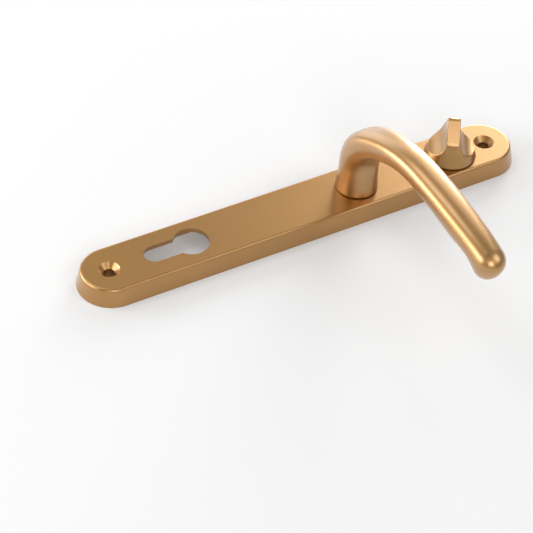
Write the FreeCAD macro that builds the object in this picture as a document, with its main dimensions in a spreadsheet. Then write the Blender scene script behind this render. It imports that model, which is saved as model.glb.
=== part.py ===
import FreeCAD, Part
import math
import os
import re
import Sketcher

# Lever door handle with snib: a hollow backplate that stands on the door, a sprung lever
# and a turning snib. The origin is on the lever's axis at the back of the plate, +Z points
# away from the door, +X runs along the plate to the snib and the lever's grip points to -Y.

Vector = FreeCAD.Vector
Rotation = FreeCAD.Rotation
UP = Vector(0, 0, 1)

doc = FreeCAD.newDocument("lever_handle")
sheet = doc.addObject("Spreadsheet::Sheet", "Sizes")

# Driving dimensions in millimetres and degrees
SIZES = {
    # Backplate
    "plate_low_end": (151.1, "hub axis to the plate's far end past the cylinder hole"),
    "plate_high_end": (90.9, "hub axis to the plate's end past the snib"),
    "plate_width": (33.5, "width at the door"),
    "plate_height": (9.6, "height off the door"),
    "draft_angle": (12.0, "slope of the plate's sides"),
    "edge_round": (1.3, "radius along the plate's top edge"),
    "side_wall": (2.0, "thickness of the plate's sides"),
    "top_wall": (2.4, "thickness of the plate's top"),
    "rib_width": (2.0, "thickness of a cross rib"),
    "rib_depth": (3.0, "depth of a cross rib below the top wall"),
    "rib_low_x": (-72.0, "cross rib beside the cylinder hole"),
    "rib_middle_x": (-44.0, "cross rib between the hub and the cylinder hole"),
    "rib_high_x": (36.0, "cross rib between the hub and the snib"),
    # Fixing screws and cylinder hole
    "screw_low_x": (-135.5, "fixing screw past the cylinder hole"),
    "screw_high_x": (75.5, "fixing screw past the snib"),
    "screw_hole_radius": (2.75, "clearance hole for a 5 mm screw"),
    "countersink_radius": (5.25, "mouth of the countersink"),
    "screw_boss_radius": (5.8, "post round a fixing screw"),
    "cylinder_x": (-92.0, "hub axis to the round of the cylinder hole"),
    "cylinder_round": (9.0, "radius of the cylinder hole's round"),
    "cylinder_slot": (5.4, "half width of the cylinder hole's slot"),
    "cylinder_reach": (24.9, "round's centre to the slot's far end"),
    # Fits
    "running_gap": (0.05, "radial clearance of a journal or a pressed piece"),
    "moving_gap": (0.3, "clearance between pieces that move past each other"),
    # Lever hub
    "journal_radius": (7.4, "lever journal"),
    "journal_end": (0.95, "journal's end above the door"),
    "flat_half": (6.5, "half width over the journal's two flats"),
    "spindle_square": (8.1, "socket for an 8 mm square spindle"),
    "spindle_depth": (28.0, "top of the spindle socket above the door"),
    "bush_wall": (1.5, "wall of the lever bush"),
    "bush_head": (0.45, "bush head beyond its sleeve"),
    "bush_head_height": (0.8, "thickness of the bush heads"),
    "thrust_washer_thick": (0.4, "thrust washer"),
    "cam_gap": (0.4, "clearance between the cover and the cam"),
    "cam_thick": (1.15, "drive cam"),
    "cam_radius": (9.2, "drive cam's disc"),
    "cam_reach": (13.2, "drive cam's stop tab"),
    "cam_tab_half_angle": (12.0, "half the angle of the stop tab"),
    "lug_inner": (12.3, "inside of the cam's driving lug"),
    "lug_outer": (13.7, "outside of the cam's driving lug"),
    "lug_half_angle": (7.0, "half the angle of the driving lug"),
    "clip_thick": (0.8, "lever circlip"),
    "clip_width": (1.85, "radial width of the lever circlip"),
    "groove_depth": (0.7, "lever circlip's groove"),
    "clip_gap_angle": (56.0, "opening of a circlip"),
    "clip_ear": (1.1, "radius of a circlip's ear"),
    "clip_ear_hole": (0.45, "radius of the hole in a circlip's ear"),
    "clip_ear_angle": (4.0, "ear's centre from the edge of a circlip's opening"),
    # Return spring
    "coil_radius": (9.9, "mean radius of the return spring"),
    "wire_half": (0.45, "half the side of the return spring's square wire"),
    "coil_turns": (2.0, "turns of the return spring"),
    "coil_pitch": (1.35, "rise of one turn"),
    "leg_bend": (2.25, "bend from the coil into a leg"),
    "leg_reach": (20.4, "hub axis to the end of a leg"),
    # Stops
    "lever_swing": (40.0, "lever's travel each way"),
    "stop_circle": (12.4, "lever stop pins' distance from the hub axis"),
    "stop_radius": (1.3, "lever stop pin"),
    "stop_spare_angle": (1.4, "angle left between the tab and a stop pin"),
    "anchor_x": (-17.2, "anchor pin between the spring's legs"),
    "anchor_radius": (1.6, "anchor pin"),
    "pin_seat": (1.2, "depth of a pin in the top wall"),
    # Spring cover
    "cover_bottom": (1.0, "cover's height above the door"),
    "cover_thick": (0.6, "cover"),
    "cover_half_width": (11.0, "half the cover's width"),
    "cover_half_length": (28.0, "half the cover's length"),
    "cover_hole": (9.6, "cover's opening round the journal"),
    "cover_screw_x": (24.0, "cover screws' distance from the hub axis"),
    "cover_boss": (3.0, "radius of a cover screw's post"),
    "cover_screw_radius": (1.2, "cover screw's shank"),
    "cover_screw_head": (2.2, "cover screw's head radius"),
    "cover_screw_head_height": (0.8, "cover screw's head height"),
    "cover_screw_slot": (0.5, "width of a cover screw's slot"),
    "cover_screw_length": (4.6, "cover screw's shank length"),
    # Lever
    "lever_gap": (0.3, "gap between the plate and the lever or the snib"),
    "neck_rise": (15.4, "straight part of the neck"),
    "shoulder_radius": (25.3, "first bend of the lever's path"),
    "shoulder_angle": (56.6, "turn of the first bend"),
    "crown_radius": (80.7, "second bend of the lever's path"),
    "grip_radius": (266.0, "long bend of the grip"),
    "dome_length": (8.4, "dome past the lever's tip section"),
    # Snib
    "snib_x": (55.0, "hub axis to the snib axis"),
    "snib_turned": (30.5, "snib's turn from straight across the plate"),
    "snib_radius": (13.1, "snib's base"),
    "snib_foot_round": (0.6, "chamfer under the snib's base"),
    "snib_skirt_top": (9.1, "skirt's radius at the crease"),
    "snib_crease": (22.2, "height of the crease above the door"),
    "snib_top": (32.4, "height of the ridge above the door"),
    "snib_ridge_half": (0.6, "half length of the ridge's top"),
    "blade_half": (2.95, "half the thickness of the snib's blade"),
    "scoop_radius": (10.0, "radius of the finger scoops"),
    "scoop_height": (23.8, "height of the scoops' axis above the door"),
    "snib_journal": (5.0, "snib journal"),
    "snib_journal_end": (2.4, "snib journal's end above the door"),
    "snib_flat_half": (4.3, "half width over the snib journal's flats"),
    "snib_square": (5.1, "socket for a 5 mm square spindle"),
    "snib_socket_depth": (19.0, "top of the snib's socket above the door"),
    "snib_bush_wall": (1.35, "wall of the snib bush"),
    "snib_bush_drop": (1.0, "snib bush below the top wall"),
    "disc_spring_height": (0.9, "snib's disc spring"),
    "disc_spring_thick": (0.35, "disc spring's sheet"),
    "snib_stop_thick": (1.0, "snib stop washer"),
    "snib_stop_disc": (7.2, "snib stop washer's disc"),
    "snib_stop_reach": (10.4, "snib stop washer's tab"),
    "snib_swing": (45.0, "half of the snib's travel"),
    "snib_stop_circle": (9.4, "snib stop pins' distance from the snib axis"),
    "snib_stop_radius": (1.2, "snib stop pin"),
    "snib_clip_width": (1.8, "radial width of the snib circlip"),
    "snib_groove_depth": (0.6, "snib circlip's groove"),
}

# Lever sections: distance along the path, half width, height on the outside of the bend
# and depth on its inside
SECTION_SIZES = ("place", "half", "outer", "inner")
LEVER_SECTIONS = {
    "foot": (0.0, 9.8, 9.6, 9.6),
    "bend": (17.0, 9.8, 8.7, 10.5),
    "shoulder": (35.0, 9.6, 7.2, 9.5),
    "crown": (52.0, 8.5, 6.4, 7.2),
    "grip": (79.0, 7.9, 6.0, 5.5),
    "relief": (119.0, 7.7, 6.2, 8.5),
    "bulb": (133.5, 7.0, 6.5, 7.9),
    "tip": (141.7, 7.5, 6.6, 11.4),
}
for section, values in LEVER_SECTIONS.items():
    for what, value in zip(SECTION_SIZES, values):
        SIZES[f"{section}_{what}"] = (value, f"lever's {section} section, {what}")
DOME_ANGLES = (20, 40, 60, 76, 86)

for row, (alias, (value, meaning)) in enumerate(SIZES.items(), start=1):
    sheet.set(f"A{row}", meaning)
    sheet.set(f"B{row}", str(value))
    sheet.setAlias(f"B{row}", alias)
doc.recompute()


# Reading the sheet
def size(alias):
    return float(sheet.get(alias))


def bound(text):
    """The expression in which each size's name points at its cell."""
    return re.sub(r"[a-z_]+", lambda word: "Sizes." + word[0] if word[0] in SIZES else word[0], text)


def length(text):
    """The number that a sum of sizes stands for, such as 'plate_width/2 - side_wall'."""
    total = 0.0
    sign = 1.0
    for term in text.split():
        if term in "+-":
            sign = -1.0 if term == "-" else 1.0
            continue
        product = 1.0
        divide = False
        for factor in re.split("([*/])", term.lstrip("-")):
            if factor in "*/":
                divide = factor == "/"
                continue
            number = size(factor) if factor in SIZES else float(factor)
            product = product / number if divide else product * number
        total += -sign * product if term.startswith("-") else sign * product
    return total


# Part primitives with bound sizes
def place(item, x="0", y="0", z="0"):
    for axis, text in zip("xyz", (x, y, z)):
        item.setExpression("Placement.Base." + axis, bound(text))
    return item


def cylinder(name, radius, bottom, top, x="0", y="0"):
    item = doc.addObject("Part::Cylinder", name)
    item.setExpression("Radius", bound(radius))
    item.setExpression("Height", bound(f"{top} - ({bottom})"))
    return place(item, x, y, bottom)


def sector(name, radius, half_angle, middle_angle, bottom, top, x="0"):
    """A slice of a cylinder, centred on the angle middle_angle from +X."""
    item = cylinder(name, radius, bottom, top, x)
    item.setExpression("Angle", bound(f"2 * {half_angle}"))
    item.Placement.Rotation = Rotation(UP, 0)
    item.setExpression("Placement.Rotation.Angle", bound(f"{middle_angle} - ({half_angle})"))
    return item


def cone(name, low_radius, high_radius, bottom, top, x="0", y="0"):
    item = doc.addObject("Part::Cone", name)
    item.setExpression("Radius1", bound(low_radius))
    item.setExpression("Radius2", bound(high_radius))
    item.setExpression("Height", bound(f"{top} - ({bottom})"))
    return place(item, x, y, bottom)


def box(name, low, high):
    """A box from its lowest to its highest corner, each given as three texts."""
    item = doc.addObject("Part::Box", name)
    for side, start, end in zip(("Length", "Width", "Height"), low, high):
        item.setExpression(side, bound(f"{end} - ({start})"))
    return place(item, *low)


def fuse(name, *pieces):
    item = doc.addObject("Part::MultiFuse", name)
    item.Shapes = list(pieces)
    item.Refine = True
    return item


def cut(name, base, *tools):
    item = doc.addObject("Part::Cut", name)
    item.Base = base
    item.Tool = tools[0] if len(tools) == 1 else fuse(name + "_tools", *tools)
    item.Refine = True
    return item


def ring(name, outer, inner, bottom, top, x="0"):
    outside = cylinder(name + "_outside", outer, bottom, top, x)
    inside = cylinder(name + "_inside", inner, bottom, top, x)
    return cut(name, outside, inside)


# PartDesign bodies with bound sketches
def body(name):
    return doc.addObject("PartDesign::Body", name)


def sketch(owner, name, height="0", plane="XY_Plane"):
    item = owner.newObject("Sketcher::SketchObject", name)
    flat = [feature for feature in owner.Origin.OriginFeatures if feature.Role == plane][0]
    item.AttachmentSupport = (flat, [""])
    item.MapMode = "FlatFace"
    item.setExpression("AttachmentOffset.Base.z", bound(height))
    return item


def tie(item, kind, geometry, text, tag, *point):
    """One sketch constraint whose value is bound to the sheet."""
    constraint = Sketcher.Constraint(kind, *point, *geometry, length(text))
    item.renameConstraint(item.addConstraint(constraint), tag)
    item.setExpression("Constraints." + tag, bound(text))


def pin_point(item, geometry, end, x, y, tag):
    """Holds one point of a sketch at the bound place x, y."""
    if x == "0":
        item.addConstraint(Sketcher.Constraint("PointOnObject", geometry, end, -2))
    else:
        tie(item, "DistanceX", (geometry, end), x, tag + "_x", -1, 1)
    if y == "0":
        item.addConstraint(Sketcher.Constraint("PointOnObject", geometry, end, -1))
    else:
        tie(item, "DistanceY", (geometry, end), y, tag + "_y", -1, 1)


def circle(item, tag, x, y, radius):
    centre = Vector(length(x), length(y), 0)
    index = item.addGeometry(Part.Circle(centre, UP, length(radius)), False)
    pin_point(item, index, 3, x, y, tag)
    tie(item, "Radius", (index,), radius, tag + "_radius")


def polygon(item, tag, corners):
    """A closed outline of straight lines through bound corners."""
    points = [Vector(length(x), length(y), 0) for x, y in corners]
    lines = []
    for start, end in zip(points, points[1:] + points[:1]):
        lines.append(item.addGeometry(Part.LineSegment(start, end), False))
    for index, line in enumerate(lines):
        following = lines[(index + 1) % len(lines)]
        item.addConstraint(Sketcher.Constraint("Coincident", line, 2, following, 1))
    for index, (line, (x, y)) in enumerate(zip(lines, corners)):
        pin_point(item, line, 1, x, y, f"{tag}{index}")


def slot(item, tag, low, high, radius):
    """A long hole or plate with round ends, whose end centres are at low and high."""
    left, right, half = length(low), length(high), length(radius)
    top = item.addGeometry(Part.LineSegment(Vector(right, half, 0), Vector(left, half, 0)), False)
    circle_left = Part.Circle(Vector(left, 0, 0), UP, half)
    round_left = item.addGeometry(Part.ArcOfCircle(circle_left, math.pi / 2, 3 * math.pi / 2), False)
    bottom = item.addGeometry(Part.LineSegment(Vector(left, -half, 0), Vector(right, -half, 0)), False)
    circle_right = Part.Circle(Vector(right, 0, 0), UP, half)
    round_right = item.addGeometry(Part.ArcOfCircle(circle_right, -math.pi / 2, math.pi / 2), False)
    for first, second in ((top, round_left), (round_left, bottom), (bottom, round_right), (round_right, top)):
        item.addConstraint(Sketcher.Constraint("Tangent", first, 2, second, 1))
    item.addConstraint(Sketcher.Constraint("Horizontal", top))
    pin_point(item, round_left, 3, low, "0", tag + "_low")
    pin_point(item, round_right, 3, high, "0", tag + "_high")
    tie(item, "Radius", (round_left,), radius, tag + "_radius")


def keyhole(item):
    """The cylinder hole: a round with a slot that runs to the plate's low end."""
    centre, radius, half = length("cylinder_x"), length("cylinder_round"), length("cylinder_slot")
    far = length("cylinder_x - cylinder_reach + cylinder_slot")
    mouth = math.asin(half / radius)
    shoulder = centre - radius * math.cos(mouth)
    big = Part.Circle(Vector(centre, 0, 0), UP, radius)
    small = Part.Circle(Vector(far, 0, 0), UP, half)
    round_arc = item.addGeometry(Part.ArcOfCircle(big, mouth - math.pi, math.pi - mouth), False)
    top = item.addGeometry(Part.LineSegment(Vector(shoulder, half, 0), Vector(far, half, 0)), False)
    end_arc = item.addGeometry(Part.ArcOfCircle(small, math.pi / 2, 3 * math.pi / 2), False)
    bottom = item.addGeometry(Part.LineSegment(Vector(far, -half, 0), Vector(shoulder, -half, 0)), False)
    item.addConstraint(Sketcher.Constraint("Coincident", round_arc, 2, top, 1))
    item.addConstraint(Sketcher.Constraint("Tangent", top, 2, end_arc, 1))
    item.addConstraint(Sketcher.Constraint("Tangent", end_arc, 2, bottom, 1))
    item.addConstraint(Sketcher.Constraint("Coincident", bottom, 2, round_arc, 1))
    item.addConstraint(Sketcher.Constraint("Horizontal", top))
    pin_point(item, round_arc, 3, "cylinder_x", "0", "round")
    pin_point(item, end_arc, 3, "cylinder_x - cylinder_reach + cylinder_slot", "0", "slot")
    tie(item, "Radius", (round_arc,), "cylinder_round", "round_radius")
    tie(item, "Radius", (end_arc,), "cylinder_slot", "slot_radius")


def pad(owner, name, profile, height, draft="0"):
    item = owner.newObject("PartDesign::Pad", name)
    item.Profile = profile
    item.setExpression("Length", bound(height))
    item.setExpression("TaperAngle", bound(draft))
    return item


def pocket(owner, name, profile, depth, draft="0", upwards=True):
    item = owner.newObject("PartDesign::Pocket", name)
    item.Profile = profile
    item.Reversed = upwards
    item.setExpression("Length", bound(depth))
    item.setExpression("TaperAngle", bound(draft))
    return item


# Heights behind the plate's top: the hub's stack up from its cover, the snib's down from the top wall
CEILING = "plate_height - top_wall"
CAM_BOTTOM = "cover_bottom + cover_thick + cam_gap"
CAM_TOP = CAM_BOTTOM + " + cam_thick"
WASHER_BOTTOM = CAM_TOP + " + moving_gap"
WASHER_TOP = WASHER_BOTTOM + " + thrust_washer_thick"
CLIP_BOTTOM = CAM_BOTTOM + " - clip_thick"
BUSH_RADIUS = "journal_radius + running_gap + bush_wall"
SNIB_BUSH_RADIUS = "snib_journal + running_gap + snib_bush_wall"
SNIB_BUSH_BOTTOM = CEILING + " - snib_bush_drop"
SNIB_STOP_TOP = SNIB_BUSH_BOTTOM + " - running_gap - disc_spring_height - moving_gap"
SNIB_STOP_BOTTOM = SNIB_STOP_TOP + " - snib_stop_thick"
SNIB_CLIP_BOTTOM = SNIB_STOP_BOTTOM + " - clip_thick"
LEVER_BASE = "plate_height + lever_gap"
TAB_ANGLE = "cam_tab_half_angle + stop_spare_angle"
STOP_ANGLE = f"lever_swing + {TAB_ANGLE} + asin(stop_radius / stop_circle) / 1 deg"
SNIB_STOP_ANGLE = f"snib_swing + {TAB_ANGLE} + asin(snib_stop_radius / snib_stop_circle) / 1 deg"


def polar(radius, angle, x="0"):
    """Bound x and y of a point at an angle, in degrees, round an axis at x."""
    return f"{x} + {radius} * cos(({angle}) * 1 deg)", f"{radius} * sin(({angle}) * 1 deg)"


# Backplate: a die-cast shell, open at the back, with posts, ribs and holes
backplate = body("backplate")
outline = sketch(backplate, "plate_outline")
slot(outline, "plate", "plate_width/2 - plate_low_end", "plate_high_end - plate_width/2", "plate_width/2")
plate_block = pad(backplate, "plate_block", outline, "plate_height", "-draft_angle")
doc.recompute()

top_edges = []
for index, edge in enumerate(plate_block.Shape.Edges, start=1):
    if edge.BoundBox.ZMin > size("plate_height") - 0.01:
        top_edges.append(f"Edge{index}")
plate_edge = backplate.newObject("PartDesign::Fillet", "plate_edge")
plate_edge.Base = (plate_block, top_edges)
plate_edge.setExpression("Radius", bound("edge_round"))

inside = sketch(backplate, "hollow_outline")
slot(
    inside,
    "hollow",
    "plate_width/2 - plate_low_end",
    "plate_high_end - plate_width/2",
    "plate_width/2 - side_wall",
)
pocket(backplate, "hollow", inside, CEILING, "-draft_angle")

screw_posts = sketch(backplate, "screw_post_circles")
for end in ("low", "high"):
    circle(screw_posts, "post_" + end, f"screw_{end}_x", "0", "screw_boss_radius")
pad(backplate, "screw_posts", screw_posts, CEILING + " + top_wall/2")

cover_posts = sketch(backplate, "cover_post_circles", "cover_bottom + cover_thick")
for side, name in (("-", "left"), ("", "right")):
    circle(cover_posts, "cover_post_" + name, side + "cover_screw_x", "0", "cover_boss")
pad(backplate, "cover_posts", cover_posts, CEILING + " + top_wall/2 - cover_bottom - cover_thick")

ribs = sketch(backplate, "rib_outlines", CEILING + " - rib_depth")
for rib in ("low", "middle", "high"):
    left, right = f"rib_{rib}_x - rib_width/2", f"rib_{rib}_x + rib_width/2"
    near, far = "side_wall - plate_width/2", "plate_width/2 - side_wall"
    polygon(ribs, "rib_" + rib, [(left, near), (right, near), (right, far), (left, far)])
pad(backplate, "ribs", ribs, "rib_depth + top_wall/2")

cylinder_hole = sketch(backplate, "cylinder_hole_outline")
keyhole(cylinder_hole)
pocket(backplate, "cylinder_hole", cylinder_hole, "2*plate_height")

hub_holes = sketch(backplate, "hub_hole_circles")
circle(hub_holes, "lever_hole", "0", "0", BUSH_RADIUS + " + running_gap")
circle(hub_holes, "snib_hole", "snib_x", "0", SNIB_BUSH_RADIUS + " + running_gap")
pocket(backplate, "hub_holes", hub_holes, "2*plate_height")

bush_seats = sketch(backplate, "bush_seat_circles", "plate_height - bush_head_height")
circle(bush_seats, "lever_seat", "0", "0", BUSH_RADIUS + " + bush_head + running_gap")
circle(bush_seats, "snib_seat", "snib_x", "0", SNIB_BUSH_RADIUS + " + bush_head + running_gap")
pocket(backplate, "bush_seats", bush_seats, "2*bush_head_height")

screw_holes = sketch(backplate, "screw_hole_circles")
for end in ("low", "high"):
    circle(screw_holes, "screw_" + end, f"screw_{end}_x", "0", "screw_hole_radius")
pocket(backplate, "screw_holes", screw_holes, "2*plate_height")

cover_screw_holes = sketch(backplate, "cover_screw_circles", "cover_bottom + cover_thick")
COVER_SCREW_HOLE = "cover_screw_radius + running_gap"
for side, name in (("-", "left"), ("", "right")):
    circle(cover_screw_holes, "pilot_" + name, side + "cover_screw_x", "0", COVER_SCREW_HOLE)
pocket(backplate, "cover_screw_holes", cover_screw_holes, "cover_screw_length")

for end in ("low", "high"):
    sink = backplate.newObject("PartDesign::SubtractiveCone", "countersink_" + end)
    sink.setExpression("Radius1", bound("screw_hole_radius"))
    sink.setExpression("Radius2", bound("countersink_radius"))
    sink.setExpression("Height", bound("countersink_radius - screw_hole_radius"))
    place(sink, f"screw_{end}_x", "0", "plate_height - countersink_radius + screw_hole_radius")
doc.recompute()

pin_places = {
    "lever_stop_left": (*polar("stop_circle", f"-({STOP_ANGLE})"), "stop_radius"),
    "lever_stop_right": (*polar("stop_circle", STOP_ANGLE), "stop_radius"),
    "anchor": ("anchor_x", "0", "anchor_radius"),
    "snib_stop_left": (*polar("snib_stop_circle", f"-({SNIB_STOP_ANGLE})", "snib_x"), "snib_stop_radius"),
    "snib_stop_right": (*polar("snib_stop_circle", SNIB_STOP_ANGLE, "snib_x"), "snib_stop_radius"),
}
PIN_TOP = CEILING + " + pin_seat"
for name, (x, y, radius) in pin_places.items():
    seat = backplate.newObject("PartDesign::SubtractiveCylinder", name + "_seat")
    seat.setExpression("Radius", bound(radius + " + running_gap"))
    seat.setExpression("Height", bound("pin_seat + 1"))
    place(seat, x, y, CEILING + " - 1 + running_gap")


# Pins pressed into the top wall
def pressed_pin(name, place_name, bottom):
    x, y, radius = pin_places[place_name]
    return cylinder(name, radius, bottom, PIN_TOP, x, y)


PIN_BOTTOM = "cover_bottom + cover_thick + running_gap"
lever_stop_pins = doc.addObject("Part::Compound", "lever_stop_pins")
lever_stop_pins.Links = [
    pressed_pin("lever_stop_a", "lever_stop_left", PIN_BOTTOM),
    pressed_pin("lever_stop_b", "lever_stop_right", PIN_BOTTOM),
]
spring_anchor_pin = pressed_pin("spring_anchor_pin", "anchor", PIN_BOTTOM)
SNIB_PIN_BOTTOM = SNIB_STOP_BOTTOM + " - moving_gap"
snib_stop_pins = doc.addObject("Part::Compound", "snib_stop_pins")
snib_stop_pins.Links = [
    pressed_pin("snib_stop_a", "snib_stop_left", SNIB_PIN_BOTTOM),
    pressed_pin("snib_stop_b", "snib_stop_right", SNIB_PIN_BOTTOM),
]


# Bushes: moulded sleeves with a thin head in the plate's top, hidden under the hubs
def headed_bush(name, inner, outer, bottom, x="0"):
    sleeve = cylinder(name + "_sleeve", outer, bottom, "plate_height", x)
    under_head = "plate_height - bush_head_height"
    head = cylinder(name + "_head", f"{outer} + bush_head", under_head, "plate_height", x)
    bore = cylinder(name + "_bore", inner, bottom, "plate_height", x)
    return cut(name, fuse(name + "_outside", sleeve, head), bore)


lever_bush = headed_bush("lever_bush", "journal_radius + running_gap", BUSH_RADIUS, WASHER_TOP)
snib_bush = headed_bush(
    "snib_bush", "snib_journal + running_gap", SNIB_BUSH_RADIUS, SNIB_BUSH_BOTTOM, "snib_x"
)
lever_thrust_washer = ring(
    "lever_thrust_washer", BUSH_RADIUS, "journal_radius + running_gap", WASHER_BOTTOM, WASHER_TOP
)


# Lever: one casting, lofted through sections along a line and three tangent arcs
def lever_path(distance):
    """Point and direction angle, from +Z towards -Y, at a distance along the path."""
    rise, first, second = size("neck_rise"), size("shoulder_radius"), size("crown_radius")
    turn = math.radians(size("shoulder_angle"))
    foot = size("plate_height") + size("lever_gap")
    if distance <= rise:
        return 0.0, foot + distance, 0.0
    y, z, angle = 0.0, foot + rise, 0.0
    left = distance - rise
    for radius, share in ((first, turn), (second, math.pi / 2 - turn), (size("grip_radius"), math.pi)):
        step = min(left / radius, share)
        y -= radius * (math.cos(angle) - math.cos(angle + step))
        z += radius * (math.sin(angle + step) - math.sin(angle))
        angle += step
        left = max(left - step * radius, 0.0)
    return y, z, angle


def lever_section(distance):
    """Half width, outer height and inner depth, eased between the named sections."""
    rows = [[size(f"{section}_{what}") for what in SECTION_SIZES] for section in LEVER_SECTIONS]
    distance = min(distance, rows[-1][0])
    index = max(number for number, row in enumerate(rows[:-1]) if row[0] <= distance)
    start, end = rows[index], rows[index + 1]
    before, after = rows[max(index - 1, 0)], rows[min(index + 2, len(rows) - 1)]
    span = end[0] - start[0]
    share = (distance - start[0]) / span
    rest = 1 - share
    eased = []
    for column in range(1, len(SECTION_SIZES)):
        slope_in = (end[column] - before[column]) / (end[0] - before[0]) * span
        slope_out = (after[column] - start[column]) / (after[0] - start[0]) * span
        eased.append(
            start[column] * (1 + 2 * share) * rest**2
            + slope_in * share * rest**2
            + end[column] * share**2 * (3 - 2 * share)
            - slope_out * share**2 * rest
        )
    return eased


def quarter(centre, first, second):
    """The quarter of an ellipse from centre + first to centre + second, at right angles."""
    if first.Length >= second.Length:
        ellipse = Part.Ellipse(centre + first, centre + second, centre)
        start = 0.0
    else:
        ellipse = Part.Ellipse(centre + second, centre - first, centre)
        start = -math.pi / 2
    return Part.ArcOfEllipse(ellipse, start, start + math.pi / 2).toShape()


def section_wire(distance, scale=1.0):
    """Four quarter ellipses round the path, higher on the outside or on the inside of the bend."""
    y, z, angle = lever_path(distance)
    half, outer, inner = (scale * value for value in lever_section(distance))
    centre = Vector(0, y, z)
    outwards = Vector(0, math.cos(angle), math.sin(angle))
    reaches = [Vector(half, 0, 0), outwards * outer, Vector(-half, 0, 0), outwards * -inner]
    return Part.Wire([quarter(centre, reaches[side - 1], reaches[side]) for side in (1, 2, 3, 0)])


def evenly(start, end, steps):
    return [start + (end - start) * number / steps for number in range(steps)]


bend_start = size("neck_rise")
bend_end = bend_start + size("shoulder_radius") * math.radians(size("shoulder_angle"))
crown_end = bend_end + size("crown_radius") * math.radians(90 - size("shoulder_angle"))
distances = (
    evenly(0, bend_start, 2)
    + evenly(bend_start, bend_end, 3)
    + evenly(bend_end, crown_end, 3)
    + evenly(crown_end, size("relief_place"), 3)
    + evenly(size("relief_place"), size("tip_place"), 5)
    + [size("tip_place")]
)
wires = [section_wire(distance) for distance in distances]
for angle in DOME_ANGLES:
    reach = size("tip_place") + size("dome_length") * math.sin(math.radians(angle))
    wires.append(section_wire(reach, math.cos(math.radians(angle))))
lever_grip = doc.addObject("Part::Feature", "lever_grip")
lever_grip.Shape = Part.makeLoft(wires, True, False)

lever_journal = cylinder("lever_journal", "journal_radius", "journal_end", LEVER_BASE + " + 2")
half_square = "spindle_square / 2"
spindle_socket = box(
    "spindle_socket",
    (f"-{half_square}", f"-{half_square}", "journal_end - 1"),
    (half_square, half_square, "spindle_depth"),
)


def journal_tools(name, radius, flat, end, groove_bottom, groove_depth, key_top, x="0"):
    """The circlip groove and the two flats that are cut from a journal."""
    groove_low = groove_bottom + " - running_gap"
    groove_high = groove_bottom + " + clip_thick + running_gap"
    groove = ring(
        name + "_groove", radius + " + 2", f"{radius} - {groove_depth}", groove_low, groove_high, x
    )
    left, right, bottom = f"{x} - {radius} - 2", f"{x} + {radius} + 2", f"{end} - 1"
    near = box(name + "_flat_near", (left, f"-{radius} - 2", bottom), (right, f"-{flat}", key_top))
    far = box(name + "_flat_far", (left, flat, bottom), (right, f"{radius} + 2", key_top))
    return groove, near, far


lever = cut(
    "lever",
    fuse("lever_solid", lever_grip, lever_journal),
    spindle_socket,
    *journal_tools(
        "lever_key", "journal_radius", "flat_half", "journal_end", CLIP_BOTTOM, "groove_depth", CAM_TOP
    ),
)


# Keyed discs and circlips
def keyed_hole(name, radius, flat, bottom, top, x="0"):
    round_hole = cylinder(name + "_round", radius + " + running_gap", bottom + " - 1", top + " + 1", x)
    band = box(
        name + "_band",
        (f"{x} - {radius} - 1", f"-{flat} - running_gap", bottom + " - 1"),
        (f"{x} + {radius} + 1", f"{flat} + running_gap", top + " + 1"),
    )
    hole = doc.addObject("Part::MultiCommon", name)
    hole.Shapes = [round_hole, band]
    return hole


def circlip(name, groove_radius, width, bottom, x="0"):
    """An open spring ring with two eared ends."""
    top = bottom + " + clip_thick"
    outer = f"{groove_radius} + running_gap + {width}"
    whole = ring(name + "_ring", outer, groove_radius + " + running_gap", bottom, top, x)
    gap = sector(name + "_gap", outer + " + 2", "clip_gap_angle / 2", "-90", bottom, top, x)
    ears = []
    holes = []
    for side, sign in (("left", "-"), ("right", "+")):
        ear_angle = f"-90 {sign} (clip_gap_angle / 2 + clip_ear_angle)"
        ear_x, ear_y = polar(f"({outer} - clip_ear / 2)", ear_angle, x)
        ears.append(cylinder(f"{name}_ear_{side}", "clip_ear", bottom, top, ear_x, ear_y))
        holes.append(cylinder(f"{name}_ear_hole_{side}", "clip_ear_hole", bottom, top, ear_x, ear_y))
    clear = cylinder(name + "_clear", groove_radius + " + running_gap", bottom, top, x)
    return cut(name, fuse(name + "_eared", cut(name + "_open", whole, gap), *ears), clear, *holes)


cam_disc = cylinder("cam_disc", "cam_radius", CAM_BOTTOM, CAM_TOP)
cam_tab = sector("cam_tab", "cam_reach", "cam_tab_half_angle", "0", CAM_BOTTOM, CAM_TOP)
cam_arm = sector("cam_arm", "lug_outer", "lug_half_angle", "180", CAM_BOTTOM, CAM_TOP)
LUG_TOP = CEILING + " - moving_gap"
cam_lug = cut(
    "cam_lug",
    sector("cam_lug_outside", "lug_outer", "lug_half_angle", "180", CAM_BOTTOM, LUG_TOP),
    cylinder("cam_lug_inside", "lug_inner", CAM_BOTTOM, LUG_TOP),
)
lever_drive_cam = cut(
    "lever_drive_cam",
    fuse("cam_outside", cam_disc, cam_tab, cam_arm, cam_lug),
    keyed_hole("cam_hole", "journal_radius", "flat_half", CAM_BOTTOM, CAM_TOP),
)
lever_circlip = circlip("lever_circlip", "journal_radius - groove_depth", "clip_width", CLIP_BOTTOM)


# Return spring: two turns of square wire round the bush, with both ends bent out to the anchor pin.
# It lies between the cam and the top wall, with two thirds of the free height on the cam's side.
SPRING_FREE_BELOW = 2 / 3


def arc_from(start, direction, end):
    """The circular arc that leaves start along direction and reaches end."""
    chord = end - start
    along = direction.normalize()
    angle = chord.getAngle(along)
    corner = start + along * (chord.Length / 2 / math.cos(angle))
    middle = (start + end) * 0.5
    height = math.tan(angle / 2) / math.tan(angle)
    return Part.Arc(start, middle + (corner - middle) * height, end).toShape()


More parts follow.
